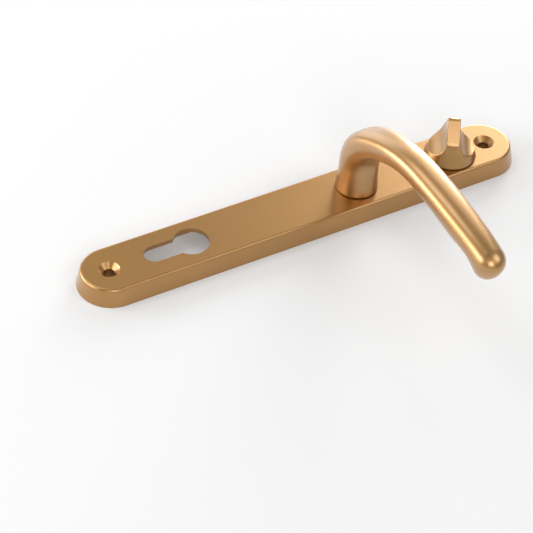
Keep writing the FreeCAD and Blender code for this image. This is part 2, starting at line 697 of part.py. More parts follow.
def helix_point(angle):
    radius = size("coil_radius")
    climb = size("coil_pitch") * (angle - math.pi) / (2 * math.pi)
    coil_height = size("coil_turns") * size("coil_pitch") + 2 * size("wire_half")
    free_height = length(CEILING) - length(CAM_TOP) - coil_height
    start = length(CAM_TOP) + SPRING_FREE_BELOW * free_height + size("wire_half")
    point = Vector(radius * math.cos(angle), radius * math.sin(angle), start + climb)
    slope = Vector(-radius * math.sin(angle), radius * math.cos(angle), size("coil_pitch") / (2 * math.pi))
    return point, slope.normalize()


def spring_wire():
    """Leg, bend, quarter turns as pairs of arcs, bend and leg."""
    outwards = Vector(-1, 0, 0)
    bend = size("leg_bend")
    leg = size("leg_reach") - size("coil_radius") - bend
    steps = int(round(size("coil_turns") * 4))
    edges = []
    point, slope = helix_point(math.pi)
    corner = point - slope * bend + outwards * bend
    edges.append(Part.LineSegment(corner + outwards * leg, corner).toShape())
    edges.append(arc_from(corner, -outwards, point))
    for step in range(steps):
        following, next_slope = helix_point(math.pi + (step + 1) * math.pi / 2)
        chord = following - point
        both = slope + next_slope
        bend_term = 2 * (1 - slope.dot(next_slope))
        reach = (math.sqrt(chord.dot(both) ** 2 + bend_term * chord.dot(chord)) - chord.dot(both)) / bend_term
        joint = (point + slope * reach + following - next_slope * reach) * 0.5
        edges.append(arc_from(point, Vector(slope), joint))
        edges.append(arc_from(joint, Vector(following - next_slope * reach - joint), following))
        point, slope = following, next_slope
    corner = point + slope * bend + outwards * bend
    edges.append(arc_from(point, Vector(slope), corner))
    edges.append(Part.LineSegment(corner, corner + outwards * leg).toShape())
    return Part.Wire(edges)


path = spring_wire()
wire_start = path.Edges[0].valueAt(path.Edges[0].FirstParameter)
corners = []
for across, up in ((-1, -1), (1, -1), (1, 1), (-1, 1)):
    corners.append(wire_start + Vector(0, across, up) * size("wire_half"))
sweep = Part.BRepOffsetAPI.MakePipeShell(path)
sweep.setBiNormalMode(UP)
sweep.add(Part.makePolygon(corners + corners[:1]))
sweep.build()
sweep.makeSolid()
lever_return_spring = doc.addObject("Part::Feature", "lever_return_spring")
lever_return_spring.Shape = sweep.shape()
print("spring wire's least gap to itself", round(size("coil_pitch") - 2 * size("wire_half"), 3), "mm")

# Spring cover: a stamped sheet that closes the hub from behind, with two small screws
cassette_cover = body("cassette_cover")
cover_outline = sketch(cassette_cover, "cover_outline", "cover_bottom")
slot(
    cover_outline,
    "cover",
    "cover_half_width - cover_half_length",
    "cover_half_length - cover_half_width",
    "cover_half_width",
)
circle(cover_outline, "cover_hole", "0", "0", "cover_hole")
for side, name in (("-", "left"), ("", "right")):
    circle(cover_outline, "cover_screw_" + name, side + "cover_screw_x", "0", COVER_SCREW_HOLE)
pad(cassette_cover, "cover_sheet", cover_outline, "cover_thick")

SCREW_BOTTOM = "cover_bottom - cover_screw_head_height"
SHANK_TOP = "cover_bottom + cover_thick + cover_screw_length - moving_gap"
screws = []
for side, name in (("-", "left"), ("", "right")):
    x = side + "cover_screw_x"
    head = cylinder(f"cover_screw_head_{name}", "cover_screw_head", SCREW_BOTTOM, "cover_bottom", x)
    shank = cylinder(f"cover_screw_shank_{name}", "cover_screw_radius", "cover_bottom", SHANK_TOP, x)
    drive = box(
        f"cover_screw_slot_{name}",
        (f"{x} - cover_screw_head", "-cover_screw_slot / 2", SCREW_BOTTOM),
        (f"{x} + cover_screw_head", "cover_screw_slot / 2", SCREW_BOTTOM + " + cover_screw_head_height / 2"),
    )
    screws.append(cut(f"cover_screw_{name}", fuse(f"cover_screw_solid_{name}", head, shank), drive))
cassette_screws = doc.addObject("Part::Compound", "cassette_screws")
cassette_screws.Links = screws

# Snib: a skirt with two finger scoops that leave a gabled blade, turned part of the way
SKIRT_BOTTOM = LEVER_BASE + " + snib_foot_round"
skirt = cone("snib_skirt", "snib_radius", "snib_skirt_top", SKIRT_BOTTOM, "snib_crease")
SKIRT_SLOPE = f"(snib_radius - snib_skirt_top) / (snib_crease - ({SKIRT_BOTTOM}))"
crown = cone(
    "snib_crown",
    "snib_skirt_top",
    f"snib_skirt_top - (snib_top - snib_crease) * {SKIRT_SLOPE}",
    "snib_crease",
    "snib_top",
)
foot = cone("snib_foot", "snib_radius - snib_foot_round", "snib_radius", LEVER_BASE, SKIRT_BOTTOM)
snib_journal = cylinder("snib_journal", "snib_journal", "snib_journal_end", LEVER_BASE + " + 1")
scoops = []
for side, sign in (("left", "-"), ("right", "")):
    roller = doc.addObject("Part::Cylinder", "scoop_" + side)
    roller.setExpression("Radius", bound("scoop_radius"))
    roller.setExpression("Height", bound("4 * snib_radius"))
    roller.Placement.Rotation = Rotation(Vector(1, 0, 0), -90)
    place(roller, f"{sign}(blade_half + scoop_radius)", "-2 * snib_radius", "scoop_height")
    low, high = ("-2 * snib_radius", "-blade_half") if sign else ("blade_half", "2 * snib_radius")
    slab_low = (low, "-2 * snib_radius", "scoop_height")
    slab_high = (high, "2 * snib_radius", "snib_top + 1")
    scoops.extend((roller, box("slab_" + side, slab_low, slab_high)))
gables = []
for side, turn in (("near", 0), ("far", 180)):
    gable = doc.addObject("Part::Wedge", "gable_" + side)
    for name, text in {
        "Xmin": "-2 * snib_radius",
        "Xmax": "2 * snib_radius",
        "X2min": "-2 * snib_radius",
        "X2max": "2 * snib_radius",
        "Ymin": "0",
        "Ymax": "snib_top - snib_crease",
        "Zmin": "-3 * snib_radius",
        "Zmax": "-snib_skirt_top",
        "Z2min": "-3 * snib_radius",
        "Z2max": "-snib_ridge_half",
    }.items():
        gable.setExpression(name, bound(text))
    gable.Placement.Rotation = Rotation(UP, turn).multiply(Rotation(Vector(1, 0, 0), 90))
    place(gable, "0", "0", "snib_crease")
    gables.append(gable)
snib_square = "snib_square / 2"
snib_socket = box(
    "snib_socket",
    (f"-{snib_square}", f"-{snib_square}", "snib_journal_end - 1"),
    (snib_square, snib_square, "snib_socket_depth"),
)
snib_turn = cut(
    "snib_turn",
    fuse("snib_solid", skirt, crown, foot, snib_journal),
    *scoops,
    *gables,
    snib_socket,
    *journal_tools(
        "snib_key",
        "snib_journal",
        "snib_flat_half",
        "snib_journal_end",
        SNIB_CLIP_BOTTOM,
        "snib_groove_depth",
        SNIB_STOP_TOP,
    ),
)
stop_disc = cylinder("snib_stop_plate", "snib_stop_disc", SNIB_STOP_BOTTOM, SNIB_STOP_TOP)
stop_tab = sector(
    "snib_stop_tab", "snib_stop_reach", "cam_tab_half_angle", "snib_swing", SNIB_STOP_BOTTOM, SNIB_STOP_TOP
)
snib_stop_washer = cut(
    "snib_stop_washer",
    fuse("snib_stop_outside", stop_disc, stop_tab),
    keyed_hole("snib_stop_hole", "snib_journal", "snib_flat_half", SNIB_STOP_BOTTOM, SNIB_STOP_TOP),
)
snib_circlip = circlip(
    "snib_circlip", "snib_journal - snib_groove_depth", "snib_clip_width", SNIB_CLIP_BOTTOM
)
for piece in (snib_turn, snib_stop_washer, snib_circlip):
    piece.Placement.Rotation = Rotation(UP, 0)
    place(piece, "snib_x")
    piece.setExpression("Placement.Rotation.Angle", bound("-snib_turned"))

# Disc spring: a coned ring that gives the snib its friction
snib_disc_spring = body("snib_disc_spring")
disc_profile = sketch(snib_disc_spring, "disc_profile", plane="XZ_Plane")
DISC_TOP = SNIB_BUSH_BOTTOM + " - running_gap"
DISC_BOTTOM = DISC_TOP + " - disc_spring_height"
DISC_INNER = "snib_journal + 2*running_gap"
DISC_OUTER = "snib_stop_circle - snib_stop_radius - moving_gap"
polygon(
    disc_profile,
    "disc",
    [
        (DISC_INNER, DISC_TOP + " - disc_spring_thick"),
        (DISC_OUTER, DISC_BOTTOM),
        (DISC_OUTER, DISC_BOTTOM + " + disc_spring_thick"),
        (DISC_INNER, DISC_TOP),
    ],
)
disc = snib_disc_spring.newObject("PartDesign::Revolution", "disc")
disc.Profile = disc_profile
disc.ReferenceAxis = (disc_profile, ["V_Axis"])
disc.Angle = 360
place(snib_disc_spring, "snib_x")

# Nodes
NODES = {
    "backplate": backplate,
    "lever": lever,
    "lever_bush": lever_bush,
    "lever_thrust_washer": lever_thrust_washer,
    "lever_drive_cam": lever_drive_cam,
    "lever_return_spring": lever_return_spring,
    "lever_circlip": lever_circlip,
    "lever_stop_pins": lever_stop_pins,
    "spring_anchor_pin": spring_anchor_pin,
    "cassette_cover": cassette_cover,
    "cassette_screws": cassette_screws,
    "snib_turn": snib_turn,
    "snib_bush": snib_bush,
    "snib_disc_spring": snib_disc_spring,
    "snib_stop_washer": snib_stop_washer,
    "snib_circlip": snib_circlip,
    "snib_stop_pins": snib_stop_pins,
}
for name, item in NODES.items():
    item.Label = name
doc.recompute()

# Checks, then one file for each sub-part
problems = []
for item in doc.Objects:
    if "Invalid" in item.State or "Error" in item.State:
        problems.append(f"{item.Name} is {item.State}")
for name, item in NODES.items():
    if item.Shape.isNull() or not item.Shape.isValid() or not item.Shape.Solids:
        problems.append(f"{name} has no valid solid")
if problems:
    raise RuntimeError("; ".join(problems))
os.makedirs("parts", exist_ok=True)
for name, item in NODES.items():
    shape = item.Shape
    shape.exportStep(f"parts/{name}.step")
    low, high = round(shape.BoundBox.ZMin, 2), round(shape.BoundBox.ZMax, 2)
    print(name, len(shape.Solids), "solids", round(shape.Volume, 1), "mm3 from", low, "to", high)
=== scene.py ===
import math

import bpy
import numpy as np
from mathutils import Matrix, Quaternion, Vector


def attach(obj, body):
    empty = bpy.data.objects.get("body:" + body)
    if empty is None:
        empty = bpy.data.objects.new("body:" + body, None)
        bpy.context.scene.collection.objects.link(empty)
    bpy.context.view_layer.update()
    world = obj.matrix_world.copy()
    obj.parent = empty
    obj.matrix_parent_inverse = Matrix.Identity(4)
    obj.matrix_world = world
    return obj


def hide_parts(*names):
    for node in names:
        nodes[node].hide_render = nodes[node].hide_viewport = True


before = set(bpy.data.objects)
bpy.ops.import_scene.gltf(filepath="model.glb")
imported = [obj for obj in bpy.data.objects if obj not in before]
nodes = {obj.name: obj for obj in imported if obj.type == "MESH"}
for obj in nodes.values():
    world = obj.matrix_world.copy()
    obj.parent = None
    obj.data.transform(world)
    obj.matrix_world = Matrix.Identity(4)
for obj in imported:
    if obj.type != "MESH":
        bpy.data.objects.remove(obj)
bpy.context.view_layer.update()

MM = 0.001


# Backplate
# A hollow die casting in aluminium, etched to an even satin and anodised gold bronze. It
# stands on the door on its rim, and two screws at its ends draw it down.
PLATE_COLOUR = (0.45, 0.225, 0.050, 1)
PLATE_SECOND_COLOUR = (0.425, 0.208, 0.045, 1)
PLATE_ROUGHNESS = 0.38


def add_node(tree, kind, inputs=None, **settings):
    """One shader node: settings are its properties, inputs are values or sockets to link."""
    made = tree.nodes.new(kind)
    for name, value in settings.items():
        setattr(made, name, value)
    for name, value in (inputs or {}).items():
        if isinstance(value, bpy.types.NodeSocket):
            tree.links.new(value, made.inputs[name])
        else:
            made.inputs[name].default_value = value
    return made


def new_group(name, takes, gives):
    """An empty shader node group with named sockets: (name, kind) pairs in and out."""
    tree = bpy.data.node_groups.new(name, "ShaderNodeTree")
    for socket, kind in takes:
        tree.interface.new_socket(socket, in_out="INPUT", socket_type="NodeSocket" + kind)
    for socket, kind in gives:
        tree.interface.new_socket(socket, in_out="OUTPUT", socket_type="NodeSocket" + kind)
    return tree, tree.nodes.new("NodeGroupInput").outputs, tree.nodes.new("NodeGroupOutput")


def etched_metal_group():
    """Fine etched grain: noise at the grain's size lifts the surface and spreads the roughness,
    and slow noise drifts between two near colours."""
    tree, given, result = new_group(
        "etched_metal",
        [
            ("Colour", "Color"),
            ("Second Colour", "Color"),
            ("Roughness", "Float"),
            ("Roughness Spread", "Float"),
            ("Grain Size", "Float"),
            ("Grain Height", "Float"),
            ("Cloud Size", "Float"),
        ],
        [("Colour", "Color"), ("Roughness", "Float"), ("Normal", "Vector")],
    )
    place = add_node(tree, "ShaderNodeTexCoord").outputs["Object"]
    fine_scale = add_node(tree, "ShaderNodeMath", {0: 1.0, 1: given["Grain Size"]}, operation="DIVIDE")
    slow_scale = add_node(tree, "ShaderNodeMath", {0: 1.0, 1: given["Cloud Size"]}, operation="DIVIDE")
    fine = add_node(
        tree,
        "ShaderNodeTexNoise",
        {"Vector": place, "Scale": fine_scale.outputs[0], "Detail": 2.0, "Roughness": 0.6},
    )
    slow = add_node(
        tree,
        "ShaderNodeTexNoise",
        {"Vector": place, "Scale": slow_scale.outputs[0], "Detail": 3.0, "Roughness": 0.5},
    )
    both = add_node(
        tree,
        "ShaderNodeMath",
        {0: fine.outputs["Fac"], 1: slow.outputs["Fac"]},
        operation="ADD",
    )
    drift = add_node(
        tree,
        "ShaderNodeMapRange",
        {"Value": both.outputs[0], "From Min": 0.7, "From Max": 1.3},
    )
    colour = add_node(
        tree,
        "ShaderNodeMix",
        {"Factor": drift.outputs[0], "A": given["Colour"], "B": given["Second Colour"]},
        data_type="RGBA",
    )
    half_way = add_node(tree, "ShaderNodeMath", {0: both.outputs[0], 1: 1.0}, operation="SUBTRACT")
    rough = add_node(
        tree,
        "ShaderNodeMath",
        {0: half_way.outputs[0], 1: given["Roughness Spread"], 2: given["Roughness"]},
        operation="MULTIPLY_ADD",
    )
    bump = add_node(
        tree,
        "ShaderNodeBump",
        {"Strength": 1.0, "Distance": given["Grain Height"], "Height": fine.outputs["Fac"]},
    )
    tree.links.new(colour.outputs["Result"], result.inputs["Colour"])
    tree.links.new(rough.outputs[0], result.inputs["Roughness"])
    tree.links.new(bump.outputs[0], result.inputs["Normal"])
    return tree


ETCHED_METAL = etched_metal_group()


def grouped_material(name, group, group_values, **shader_values):
    """A material whose colour, roughness and normal come from a group placed in it, with the
    constants of its finish set on the shader's own sockets."""
    material = bpy.data.materials.new(name)
    material.use_nodes = True
    tree = material.node_tree
    shader = tree.nodes["Principled BSDF"]
    for socket, value in shader_values.items():
        shader.inputs[socket.replace("_", " ")].default_value = value
    surface = add_node(tree, "ShaderNodeGroup", node_tree=group)
    for socket, value in group_values.items():
        surface.inputs[socket].default_value = value
    tree.links.new(surface.outputs["Colour"], shader.inputs["Base Color"])
    tree.links.new(surface.outputs["Roughness"], shader.inputs["Roughness"])
    tree.links.new(surface.outputs["Normal"], shader.inputs["Normal"])
    return material


def anodised(name, colour, second, roughness):
    """Satin anodised aluminium: the dyed metal under the clear hard skin of the anodising."""
    return grouped_material(
        name,
        ETCHED_METAL,
        {
            "Colour": colour,
            "Second Colour": second,
            "Roughness": roughness,
            "Roughness Spread": 0.10,
            "Grain Size": 0.22 * MM,
            "Grain Height": 0.0016 * MM,
            "Cloud Size": 18 * MM,
        },
        Metallic=1.0,
        Coat_Weight=1.0,
        Coat_Roughness=0.26,
        Coat_IOR=1.65,
    )


def dress(name, material):
    """Gives a node of the frame its finish in place of the plain one."""
    mesh = nodes[name].data
    mesh.materials.clear()
    mesh.materials.append(material)


plate_finish = anodised("satin_anodised_plate", PLATE_COLOUR, PLATE_SECOND_COLOUR, PLATE_ROUGHNESS)
dress("backplate", plate_finish)


# Bushes
# Two sleeves moulded in black nylon and pressed into the plate from its back. The lever's
# and the snib's journals turn in them.
nylon = grouped_material(
    "moulded_nylon",
    ETCHED_METAL,
    {
        "Colour": (0.030, 0.030, 0.032, 1),
        "Second Colour": (0.042, 0.042, 0.044, 1),
        "Roughness": 0.52,
        "Roughness Spread": 0.2,
        "Grain Size": 0.35 * MM,
        "Grain Height": 0.006 * MM,
        "Cloud Size": 6 * MM,
    },
    Metallic=0.0,
)
for bush in ("lever_bush", "snib_bush"):
    dress(bush, nylon)


# Pins
# The stop pins and the anchor pin of the spring are cut from ground steel bar and pressed
# into seats in the plate's top wall.
ground_steel = grouped_material(
    "ground_steel",
    ETCHED_METAL,
    {
        "Colour": (0.60, 0.60, 0.61, 1),
        "Second Colour": (0.50, 0.50, 0.52, 1),
        "Roughness": 0.26,
        "Roughness Spread": 0.16,
        "Grain Size": 0.4 * MM,
        "Grain Height": 0.003 * MM,
        "Cloud Size": 3 * MM,
    },
    Metallic=1.0,
)
for pin in ("lever_stop_pins", "spring_anchor_pin", "snib_stop_pins"):
    dress(pin, ground_steel)


# Zinc plated pressings
# The thrust washer, the drive cam, the snib's stop washer and the cover are stamped from
# steel sheet and zinc plated. The two small screws that hold the cover are plated too.
zinc_plate = grouped_material(
    "zinc_plate",
    ETCHED_METAL,
    {
        "Colour": (0.56, 0.58, 0.60, 1),
        "Second Colour": (0.44, 0.47, 0.50, 1),
        "Roughness": 0.36,
        "Roughness Spread": 0.30,
        "Grain Size": 1.2 * MM,
        "Grain Height": 0.006 * MM,
        "Cloud Size": 7 * MM,
    },
    Metallic=1.0,
)
for pressing in (
    "lever_thrust_washer",
    "lever_drive_cam",
    "snib_stop_washer",
    "cassette_cover",
    "cassette_screws",
):
    dress(pressing, zinc_plate)


# Springs and circlips
# The return spring is wound from oiled spring wire, and the circlips and the snib's disc
# spring are stamped from blued spring sheet.
spring_steel = grouped_material(
    "oiled_spring_steel",
    ETCHED_METAL,
    {
        "Colour": (0.17, 0.17, 0.18, 1),
        "Second Colour": (0.10, 0.10, 0.115, 1),
        "Roughness": 0.33,
        "Roughness Spread": 0.25,
        "Grain Size": 0.5 * MM,
        "Grain Height": 0.004 * MM,
        "Cloud Size": 4 * MM,
    },
    Metallic=1.0,
)
for spring in ("lever_return_spring", "lever_circlip", "snib_circlip", "snib_disc_spring"):
    dress(spring, spring_steel)


# Lever
# One aluminium casting: a round neck that leans over at the shoulder into a long bowed grip,
# with a fuller end. Its journal, with two flats and a square socket, is cast with it.
AROUND = 160
FOOT_STEPS = 7
SHAFT_STEPS = 190
DOME_STEPS = 26
SHARP_EDGE_DEGREES = 38
NEARLY_ZERO = 1e-6
JOURNAL_CHAMFER = 0.15
JOURNAL_RADIUS = 7.4
JOURNAL_END = 0.95
JOURNAL_FLAT = 6.5
GROOVE_RADIUS = 6.7
GROOVE_HEIGHTS = (1.15, 2.05)
KEYED_TOP = 3.15
SOCKET_HALF = 4.05
SOCKET_TOP = 28.0
FOOT_HEIGHT = 9.9
FOOT_ROUND = 0.7
NECK_RISE = 15.4
LEVER_BENDS = ((25.3, 56.6), (80.7, 33.4), (266.0, 180.0))
DOME_LENGTH = 8.4
SECTION_PLACES = np.array([0.0, 8.0, 17.0, 35.0, 52.0, 79.0, 119.0, 133.5, 141.7])
SECTION_HALVES = np.array([10.8, 10.1, 9.5, 9.5, 8.5, 7.9, 7.7, 7.5, 7.4])
SECTION_OUTERS = np.array([10.5, 9.5, 8.7, 7.2, 6.4, 6.0, 6.2, 6.5, 6.6])
SECTION_INNERS = np.array([10.5, 10.2, 10.5, 9.5, 7.2, 5.5, 8.5, 7.9, 11.4])
OUTER_SQUARENESS = np.array([2.0, 2.05, 2.3, 2.8, 2.7, 2.4, 2.3, 2.2, 2.0])
INNER_SQUARENESS = np.array([2.0, 2.05, 2.2, 2.5, 2.6, 2.6, 2.5, 2.2, 2.2])
LEVER_COLOUR = (0.49, 0.262, 0.078, 1)
LEVER_SECOND_COLOUR = (0.465, 0.243, 0.070, 1)
LEVER_ROUGHNESS = 0.40

turn = np.arange(AROUND) * 2 * math.pi / AROUND


def closed_skin(name, rings, first_point, last_point):
    """A closed mesh through a stack of rings, in millimetres: quads join each ring to the next,
    and a fan of triangles closes the first and the last ring on a point."""
    count, around = rings.shape[:2]
    points = np.vstack([rings.reshape(-1, 3), [first_point, last_point]]) * MM
    here = np.arange(around)
    ahead = (here + 1) % around
    low = np.arange(count - 1)[:, None] * around
    quads = np.stack([low + here, low + ahead, low + around + ahead, low + around + here], axis=-1)
    last = (count - 1) * around
    first_fan = np.stack([np.full(around, count * around), ahead, here], axis=1)
    last_fan = np.stack([last + here, last + ahead, np.full(around, count * around + 1)], axis=1)
    faces = quads.reshape(-1, 4).tolist() + first_fan.tolist() + last_fan.tolist()
    mesh = bpy.data.meshes.new(name)
    mesh.from_pydata(points.tolist(), [], faces)
    mesh.polygons.foreach_set("use_smooth", np.ones(len(mesh.polygons), bool))
    mesh.set_sharp_from_angle(angle=math.radians(SHARP_EDGE_DEGREES))
    piece = bpy.data.objects.new(name, mesh)
    bpy.context.scene.collection.objects.link(piece)
    return piece


def eased(values, places, where):
    """A smooth curve through values at places: cubic pieces whose slope at each place is that
    of the line between its two neighbours, and at each end that of the line to the next place."""
    between = np.diff(values) / np.diff(places)
    across = (values[2:] - values[:-2]) / (places[2:] - places[:-2])
    slopes = np.concatenate([between[:1], across, between[-1:]])
    index = np.clip(np.searchsorted(places, where, side="right") - 1, 0, len(places) - 2)
    span = places[index + 1] - places[index]
    share = np.clip((where - places[index]) / span, 0, 1)
    rest = 1 - share
    return (
        values[index] * (1 + 2 * share) * rest**2
        + slopes[index] * span * share * rest**2
        + values[index + 1] * share**2 * (3 - 2 * share)
        - slopes[index + 1] * span * share**2 * rest
    )


def flat_ring(radii, height):
    """A level ring round the Z axis whose radius is given for each angle."""
    return np.stack([radii * np.cos(turn), radii * np.sin(turn), np.full(AROUND, height)], axis=1)


def keyed(radius, flat):
    """A circle cut by two flats: the radius is the smaller of the circle's and that of the
    lines y = flat and y = -flat."""
    return np.minimum(radius, flat / np.maximum(np.abs(np.sin(turn)), NEARLY_ZERO))


def square(half):
    """A square about the axis: its radius is half over the larger of the sine and cosine."""
    return half / np.maximum(np.abs(np.cos(turn)), np.abs(np.sin(turn)))


def journal_rings(radius, flat, end, groove_radius, groove, keyed_top, socket_half, socket_top, hub):
    """The rings of a journal from its socket's top, down the socket, round its end and up its
    outside to the underside of the hub, with small chamfers at the end."""
    low_groove, high_groove = groove
    return [
        flat_ring(square(socket_half), socket_top),
        flat_ring(square(socket_half), end + JOURNAL_CHAMFER),
        flat_ring(square(socket_half + JOURNAL_CHAMFER), end),
        flat_ring(keyed(radius - JOURNAL_CHAMFER, flat - JOURNAL_CHAMFER), end),
        flat_ring(keyed(radius, flat), end + JOURNAL_CHAMFER),
        flat_ring(keyed(radius, flat), low_groove),
        flat_ring(keyed(groove_radius, flat), low_groove),
        flat_ring(keyed(groove_radius, flat), high_groove),
        flat_ring(keyed(radius, flat), high_groove),
        flat_ring(keyed(radius, flat), keyed_top),
        flat_ring(np.full(AROUND, radius), keyed_top),
        flat_ring(np.full(AROUND, radius), hub),
    ]


def lever_path(distance):
    """Centre y, centre z and lean of the path: a straight rise, then tangent arcs, where the
    lean grows by length over radius and each arc adds its chord along y and z."""
    along = np.minimum(distance, NECK_RISE)
    y = np.zeros_like(distance)
    z = FOOT_HEIGHT + along
    lean = np.zeros_like(distance)
    left = distance - along
    for radius, degrees in LEVER_BENDS:
        step = np.minimum(left / radius, math.radians(degrees))
        y = y - radius * (np.cos(lean) - np.cos(lean + step))
        z = z + radius * (np.sin(lean + step) - np.sin(lean))
        lean = lean + step
        left = left - step * radius
    return y, z, lean


def lever_rings(distance, scale):
    """Superellipses round the path: across is half width times cosine to the power 2 over the
    squareness, and away is the outer or the inner height times the sine to that power."""
    y, z, lean = (value[:, None] for value in lever_path(distance))
    half, outer, inner, outer_power, inner_power = (
        eased(values, SECTION_PLACES, distance)[:, None]
        for values in (
            SECTION_HALVES,
            SECTION_OUTERS,
            SECTION_INNERS,
            OUTER_SQUARENESS,
            INNER_SQUARENESS,
        )
    )
    outside = np.sin(turn)[None, :] >= 0
    power = 2 / np.where(outside, outer_power, inner_power)
    across = half * scale[:, None] * np.sign(np.cos(turn)) * np.abs(np.cos(turn)) ** power
    height = np.where(outside, outer, inner) * scale[:, None]
    away = height * np.sign(np.sin(turn)) * np.abs(np.sin(turn)) ** power
    return np.stack([across, y + away * np.cos(lean), z + away * np.sin(lean)], axis=-1)


tip_place = SECTION_PLACES[-1]
foot_steps = np.radians(np.linspace(0, 90, FOOT_STEPS))
foot_distance = FOOT_ROUND * (1 - np.cos(foot_steps))
foot_scale = 1 - FOOT_ROUND / SECTION_HALVES[0] * (1 - np.sin(foot_steps))
shaft_distance = np.linspace(FOOT_ROUND, tip_place, SHAFT_STEPS)[1:]
dome_steps = np.radians(np.linspace(0, 90, DOME_STEPS))[1:-1]
dome_distance = tip_place + DOME_LENGTH * np.sin(dome_steps)
lever_distance = np.concatenate([foot_distance, shaft_distance, dome_distance])
lever_scale = np.concatenate([foot_scale, np.ones(len(shaft_distance)), np.cos(dome_steps)])
tip_y, tip_z, _ = (value[0] for value in lever_path(np.array([tip_place + DOME_LENGTH])))
journal = journal_rings(
    JOURNAL_RADIUS,
    JOURNAL_FLAT,
    JOURNAL_END,
    GROOVE_RADIUS,
    GROOVE_HEIGHTS,
    KEYED_TOP,
    SOCKET_HALF,
    SOCKET_TOP,
    FOOT_HEIGHT,
)
lever_casting = closed_skin(
    "lever_casting",
    np.concatenate([np.array(journal), lever_rings(lever_distance, lever_scale)]),
    (0, 0, SOCKET_TOP),
    (0, tip_y, tip_z),
)
lever_casting.data.materials.append(
    anodised("satin_anodised_lever", LEVER_COLOUR, LEVER_SECOND_COLOUR, LEVER_ROUGHNESS)
)
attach(lever_casting, "lever")
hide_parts("lever")


# Snib
# A small thumb turn cast in the same alloy: a coned skirt with a thumb scoop on each side,
# which leave a gabled blade. It stands turned part of the way round.
SNIB_X = 55.0
SNIB_TURN = -30.5
SNIB_RADIUS = 13.1
SNIB_FOOT_ROUND = 0.6
SNIB_CREASE_RADIUS = 9.1
SNIB_CREASE = 22.2
SNIB_CREASE_SQUARENESS = 3.2
SNIB_TOP = 32.4
SNIB_RIDGE_HALF = 0.6
BLADE_HALF = 3.15
SCOOP_RADIUS = 10.0
SCOOP_HEIGHT = 23.8
SCOOP_FLARE = 0.05
SCOOP_LEAST_COSINE = 1e-4
SNIB_EDGE_POWER = 45
SNIB_EDGE_DEGREES = (14, 82)
SNIB_CROWDING = 1.6
SNIB_TOP_ROUND = 0.8
SNIB_FOOT_STEPS = 6
SNIB_BODY_STEPS = 180
SNIB_TOP_STEPS = 10
SNIB_JOURNAL_RADIUS = 5.0
SNIB_JOURNAL_FLAT = 4.3
SNIB_JOURNAL_END = 2.4
SNIB_GROOVE_RADIUS = 4.4
SNIB_GROOVE_HEIGHTS = (3.1, 4.0)
SNIB_KEYED_TOP = 4.95
SNIB_SOCKET_HALF = 2.55
SNIB_SOCKET_TOP = 19.0
SNIB_COLOUR = (0.46, 0.235, 0.055, 1)
SNIB_SECOND_COLOUR = (0.435, 0.218, 0.050, 1)
SNIB_ROUGHNESS = 0.38


def snib_rings(height, scale):
    """Level sections of the snib. The radius is the soft minimum of the distances to three
    walls, which is the sum of one over each to a high power, to minus one over that power: the
    skirt, a circle that grows squarer up to the crease; the scoops, at x = wall; and the gables,
    at y = roof. Points crowd towards the edge of scoop and gable, which moves with height."""
    level = height[:, None]
    bottom = FOOT_HEIGHT + SNIB_FOOT_ROUND
    rise = (level - bottom) / (SNIB_CREASE - bottom)
    skirt = SNIB_RADIUS + (SNIB_CREASE_RADIUS - SNIB_RADIUS) * rise
    square_share = np.clip(1 - (SNIB_CREASE - level) / (SCOOP_RADIUS / 2), 0, 1)
    power = 2 + (SNIB_CREASE_SQUARENESS - 2) * square_share**2
    dip = np.clip((SCOOP_HEIGHT - level) / SCOOP_RADIUS, 0, 1)
    wall = BLADE_HALF + SCOOP_RADIUS * (1 - np.sqrt(1 - dip**2))
    slope = (SNIB_RIDGE_HALF - SNIB_CREASE_RADIUS) / (SNIB_TOP - SNIB_CREASE)
    roof = SNIB_CREASE_RADIUS + slope * (level - SNIB_CREASE)
    edge_y = np.minimum(roof, np.sqrt(np.maximum(skirt**2 - wall**2, 0)))
    edge = np.clip(np.arctan2(edge_y, wall), *np.radians(SNIB_EDGE_DEGREES))
    quadrant = np.arange(AROUND) // (AROUND // 4)
    mirrored = quadrant % 2 == 1
    share = turn[None, :] % (math.pi / 2) / (math.pi / 2)
    share = np.where(mirrored, 1 - share, share)
    before_edge = edge * (1 - np.clip(1 - 2 * share, 0, 1) ** SNIB_CROWDING)
    past_edge = (math.pi / 2 - edge) * np.clip(2 * share - 1, 0, 1) ** SNIB_CROWDING
    within = before_edge + past_edge
    around = quadrant * math.pi / 2 + np.where(mirrored, math.pi / 2 - within, within)
    cosine = np.abs(np.cos(around))
    sine = np.abs(np.sin(around))
    skirt = skirt / (cosine**power + sine**power) ** (1 / power)
    flared = cosine - SCOOP_FLARE * np.maximum(np.sin(around), 0)
    to_wall = np.maximum(flared, SCOOP_LEAST_COSINE) / wall
    to_wall = np.where(level < SCOOP_HEIGHT - SCOOP_RADIUS, 0, to_wall)
    summed = sum(near**SNIB_EDGE_POWER for near in (1 / skirt, to_wall, sine / roof))
    radius = summed ** (-1 / SNIB_EDGE_POWER) * scale[:, None]
    z = np.broadcast_to(level, radius.shape)
    return np.stack([radius * np.cos(around), radius * np.sin(around), z], axis=-1)


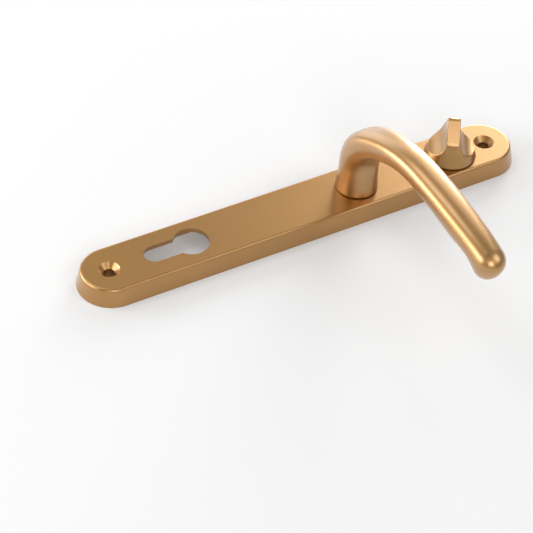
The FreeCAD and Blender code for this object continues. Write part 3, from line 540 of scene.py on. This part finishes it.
snib_foot_steps = np.radians(np.linspace(0, 90, SNIB_FOOT_STEPS))
snib_foot_heights = FOOT_HEIGHT + SNIB_FOOT_ROUND * (1 - np.cos(snib_foot_steps))
snib_foot_scale = 1 - SNIB_FOOT_ROUND / SNIB_RADIUS * (1 - np.sin(snib_foot_steps))
snib_body_heights = np.linspace(
    FOOT_HEIGHT + SNIB_FOOT_ROUND,
    SNIB_TOP - SNIB_TOP_ROUND,
    SNIB_BODY_STEPS,
)[1:]
snib_top_steps = np.radians(np.linspace(0, 90, SNIB_TOP_STEPS))[1:-1]
snib_top_heights = SNIB_TOP - SNIB_TOP_ROUND * (1 - np.sin(snib_top_steps))
snib_top_scale = 1 - SNIB_TOP_ROUND / BLADE_HALF * (1 - np.cos(snib_top_steps))
snib_heights = np.concatenate([snib_foot_heights, snib_body_heights, snib_top_heights])
snib_scale = np.concatenate([snib_foot_scale, np.ones(len(snib_body_heights)), snib_top_scale])
snib_journal = journal_rings(
    SNIB_JOURNAL_RADIUS,
    SNIB_JOURNAL_FLAT,
    SNIB_JOURNAL_END,
    SNIB_GROOVE_RADIUS,
    SNIB_GROOVE_HEIGHTS,
    SNIB_KEYED_TOP,
    SNIB_SOCKET_HALF,
    SNIB_SOCKET_TOP,
    FOOT_HEIGHT,
)
snib_stack = np.concatenate([np.array(snib_journal), snib_rings(snib_heights, snib_scale)])
snib_angle = math.radians(SNIB_TURN)
snib_turned = np.array(
    [
        [math.cos(snib_angle), math.sin(snib_angle), 0],
        [-math.sin(snib_angle), math.cos(snib_angle), 0],
        [0, 0, 1],
    ]
)
snib_stack = snib_stack @ snib_turned + [SNIB_X, 0, 0]
snib_knob = closed_skin("snib_knob", snib_stack, (SNIB_X, 0, SNIB_SOCKET_TOP), (SNIB_X, 0, SNIB_TOP))
snib_knob.data.materials.append(
    anodised("satin_anodised_snib", SNIB_COLOUR, SNIB_SECOND_COLOUR, SNIB_ROUGHNESS)
)
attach(snib_knob, "snib")
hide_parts("snib_turn")


# Floor
# A wide pale matt table top, on which the plate's rim stands. It glows a little where it is
# seen or mirrored, so that its shade stays pale.
FLOOR_HALF = 4.0
FLOOR_DROP = 0.1 * MM
FLOOR_COLOUR = (0.615, 0.615, 0.615, 1)
FLOOR_ROUGHNESS = 0.9
FLOOR_GLOW = 0.18

floor_mesh = bpy.data.meshes.new("floor")
floor_mesh.from_pydata(
    [(x * FLOOR_HALF, y * FLOOR_HALF, -FLOOR_DROP) for x, y in ((-1, -1), (1, -1), (1, 1), (-1, 1))],
    [],
    [(0, 1, 2, 3)],
)
floor = bpy.data.objects.new("floor", floor_mesh)
bpy.context.scene.collection.objects.link(floor)
matt_white = bpy.data.materials.new("matt_white")
matt_white.use_nodes = True
floor_tree = matt_white.node_tree
floor_shader = floor_tree.nodes["Principled BSDF"].inputs
floor_shader["Base Color"].default_value = FLOOR_COLOUR
floor_shader["Roughness"].default_value = FLOOR_ROUGHNESS
floor_shader["Emission Color"].default_value = (1, 1, 1, 1)
rays = add_node(floor_tree, "ShaderNodeLightPath").outputs
mirrored = add_node(
    floor_tree,
    "ShaderNodeMath",
    {0: rays["Is Glossy Ray"], 1: rays["Is Transmission Ray"]},
    operation="MAXIMUM",
)
shown = add_node(
    floor_tree,
    "ShaderNodeMath",
    {0: rays["Is Camera Ray"], 1: mirrored.outputs[0]},
    operation="MAXIMUM",
)
glow = add_node(
    floor_tree,
    "ShaderNodeMath",
    {0: shown.outputs[0], 1: FLOOR_GLOW},
    operation="MULTIPLY",
)
floor_tree.links.new(glow.outputs[0], floor_shader["Emission Strength"])
floor_mesh.materials.append(matt_white)


# Light
# Soft boxes round the table in a pale room, each a square lamp that faces the hub: name,
# azimuth from +Y towards +X and elevation in degrees, side in metres, and brightness.
SOFT_BOXES = (
    ("right_box", 48.0, 15.0, 0.38, 10.5),
    ("window_box", 55.0, 40.0, 0.42, 1.65),
    ("back_box", 6.0, 13.0, 0.60, 1.4),
    ("high_back_box", -28.0, 60.0, 0.40, 2.7),
    ("back_left_box", -52.0, 12.0, 0.40, 7.6),
    ("left_box", -84.0, 22.0, 0.40, 5.6),
    ("edge_box", 144.0, 46.0, 0.50, 2.4),
    ("gable_box", 204.0, 30.0, 0.36, 4.8),
)
BOX_DISTANCE = 0.9
ROOM_BRIGHTNESS = 0.33
AIM = Vector((0, 0, 0.02))

for name, azimuth, elevation, side, brightness in SOFT_BOXES:
    lamp = bpy.data.lights.new(name, "AREA")
    lamp.shape = "SQUARE"
    lamp.size = side
    lamp.energy = brightness * math.pi * side**2
    box = bpy.data.objects.new(name, lamp)
    level_share = math.cos(math.radians(elevation))
    outwards = Vector(
        (
            math.sin(math.radians(azimuth)) * level_share,
            math.cos(math.radians(azimuth)) * level_share,
            math.sin(math.radians(elevation)),
        )
    )
    box.location = AIM + outwards * BOX_DISTANCE
    box.rotation_mode = "QUATERNION"
    box.rotation_quaternion = outwards.to_track_quat("Z", "Y")
    box.visible_camera = False
    bpy.context.scene.collection.objects.link(box)

room = bpy.data.worlds.new("room")
room.use_nodes = True
room_light = room.node_tree.nodes["Background"].inputs
room_light["Color"].default_value = (1, 1, 1, 1)
room_light["Strength"].default_value = ROOM_BRIGHTNESS
bpy.context.scene.world = room


# Camera
# A long lens that looks down on the handle from its cylinder end, over the lever's grip.
CAMERA_PLACE = Vector((-426.4, -617.8, 676.8)) * MM
CAMERA_AIM = Vector((-62.8, -22.6, 0.0)) * MM
CAMERA_ROLL = 3.74
LENS = 136.7
SENSOR_WIDTH = 36.0

camera_data = bpy.data.cameras.new("camera")
camera_data.lens = LENS
camera_data.sensor_width = SENSOR_WIDTH
camera = bpy.data.objects.new("camera", camera_data)
camera.location = CAMERA_PLACE
camera.rotation_mode = "QUATERNION"
facing = (CAMERA_AIM - CAMERA_PLACE).to_track_quat("-Z", "Y")
camera.rotation_quaternion = facing @ Quaternion((0, 0, 1), math.radians(CAMERA_ROLL))
bpy.context.scene.collection.objects.link(camera)
bpy.context.scene.camera = camera
bpy.context.scene.view_settings.view_transform = "Standard"
